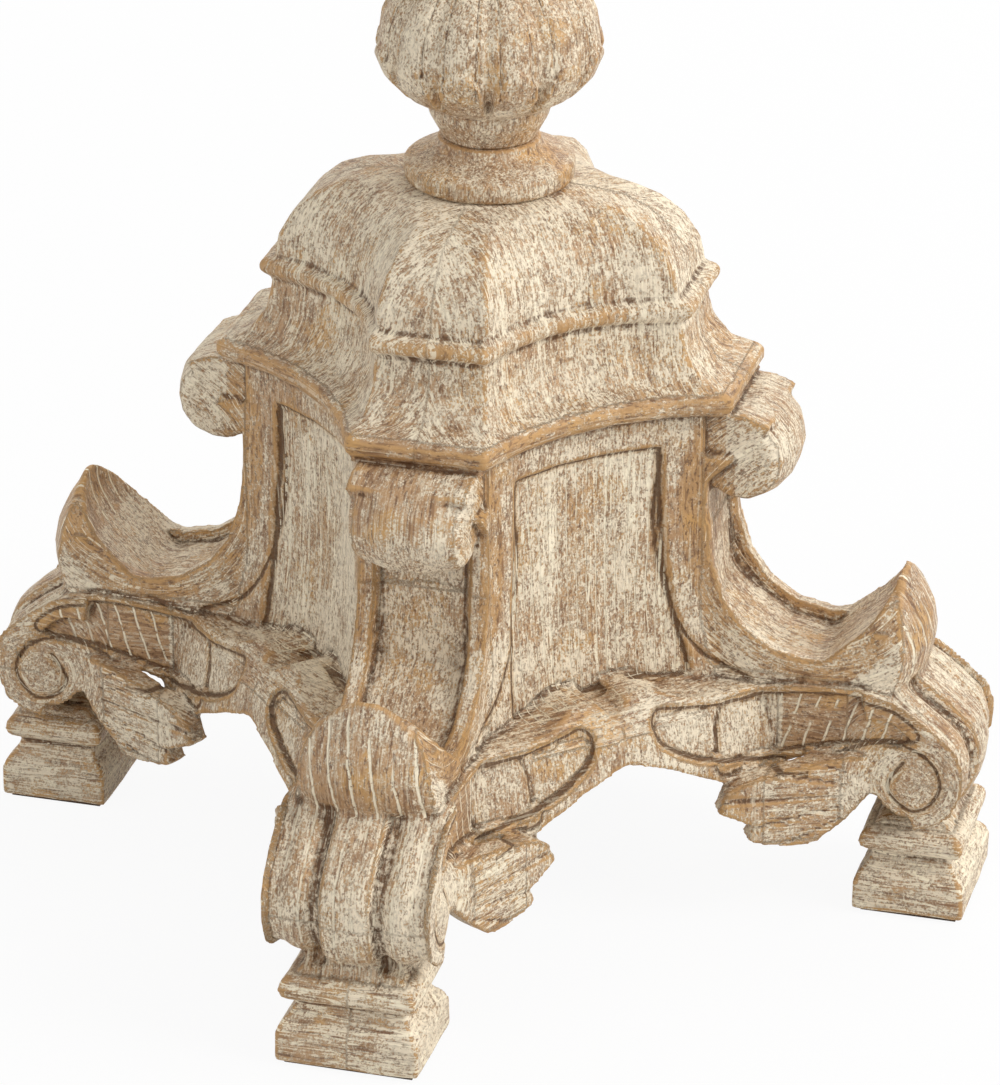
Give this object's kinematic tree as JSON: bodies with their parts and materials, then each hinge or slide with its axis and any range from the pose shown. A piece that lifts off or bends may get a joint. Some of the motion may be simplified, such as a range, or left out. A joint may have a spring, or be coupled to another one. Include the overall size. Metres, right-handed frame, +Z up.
{
  "type": "floor lamp",
  "caption": "Candlestick floor lamp: carved scroll-footed pedestal, turned and fluted column, drip pan with candle sleeve, harp-held tapered fabric shade.",
  "frame": {"origin": "on the floor under the lamp's axis", "axes": "+Z up along the column, with a scrolled leg on each diagonal between X and Y, and the switch on -Y"},
  "size_m": [0.4559, 0.456, 1.5134],
  "materials": {
    "distressed_finish": "limed and gilded over a carved surface, matt",
    "ballast_iron": "rough casting",
    "dark_steel": "satin black",
    "zinc_steel": "zinc plated",
    "felt": "pressed felt",
    "black_rubber": "matt",
    "ivory_sleeve": "matt candle colour",
    "antique_brass": "aged, satin",
    "bright_brass": "satin",
    "brown_phenolic": "moulded",
    "card_liner": "pressed card",
    "black_plastic": "moulded",
    "bulb_metal": "bright",
    "frosted_glass": "frosted",
    "bulb_core": "matt yellow",
    "linen": "woven linen over a white lining",
    "white_wire": "white enamel"
  },
  "bodies": {
    "lamp": {"pedestal_casting": "distressed_finish", "ballast_block": "ballast_iron", "bottom_plate": "dark_steel", "plate_screws": "zinc_steel", "felt_pads": "felt", "cord_bushing": "black_rubber", "socle_disc": "distressed_finish", "fluted_ball": "distressed_finish", "spool_ring": "distressed_finish", "leafed_vase": "distressed_finish", "ringed_knop": "distressed_finish", "fluted_shaft": "distressed_finish", "gadrooned_urn": "distressed_finish", "upper_stem": "distressed_finish", "drip_pan": "distressed_finish", "candle_sleeve": "ivory_sleeve", "check_ring": "antique_brass", "lamp_pipe_lower": "zinc_steel", "lamp_pipe_upper": "zinc_steel", "pipe_coupling": "zinc_steel", "base_washer": "zinc_steel", "base_nut": "antique_brass", "top_nut": "antique_brass", "harp_saddle": "antique_brass", "socket_cap": "antique_brass", "socket_set_screw": "zinc_steel", "socket_interior": "brown_phenolic", "socket_liner": "card_liner", "socket_shell": "antique_brass", "screw_shell": "bright_brass", "centre_contact": "bright_brass"},
    "switch": {"switch_stem": "black_plastic", "switch_knob": "black_plastic"},
    "bulb": {"bulb_cap": "bulb_metal", "bulb_glass": "frosted_glass", "bulb_filament": "bulb_core"},
    "harp": {"harp_wire": "antique_brass", "harp_seat": "antique_brass"},
    "sleeve_left": {"harp_sleeve_left": "antique_brass"},
    "sleeve_right": {"harp_sleeve_right": "antique_brass"},
    "shade": {"shade_fabric": "linen", "shade_top_ring": "white_wire", "shade_bottom_ring": "white_wire", "shade_spider": "white_wire", "shade_washer": "white_wire"},
    "finial": {"finial_base": "antique_brass", "finial_knob": "distressed_finish"}
  },
  "joints": [
    {"name": "switch_turn", "type": "hinge", "parent": "lamp", "child": "switch", "pos_m": [0, -0.02, 1.23986], "axis": [0, -1, 0], "continuous": true},
    {"name": "bulb_turn", "type": "hinge", "parent": "lamp", "child": "bulb", "pos_m": [0, 0, 1.24786], "axis": [0, 0, 1], "range_deg": [0, 1080]},
    {"name": "harp_lift", "type": "slide", "parent": "lamp", "child": "harp", "axis": [0, 0, 1], "range_m": [0, 0.04]},
    {"name": "sleeve_left_lift", "type": "slide", "parent": "harp", "child": "sleeve_left", "axis": [0, 0, 1], "range_m": [0, 0.012]},
    {"name": "sleeve_right_lift", "type": "slide", "parent": "harp", "child": "sleeve_right", "axis": [0, 0, 1], "range_m": [0, 0.012]},
    {"name": "shade_turn", "type": "hinge", "parent": "harp", "child": "shade", "pos_m": [0, 0, 1.46926], "axis": [0, 0, 1], "continuous": true},
    {"name": "finial_turn", "type": "hinge", "parent": "harp", "child": "finial", "pos_m": [0, 0, 1.47126], "axis": [0, 0, 1], "continuous": true}
  ]
}
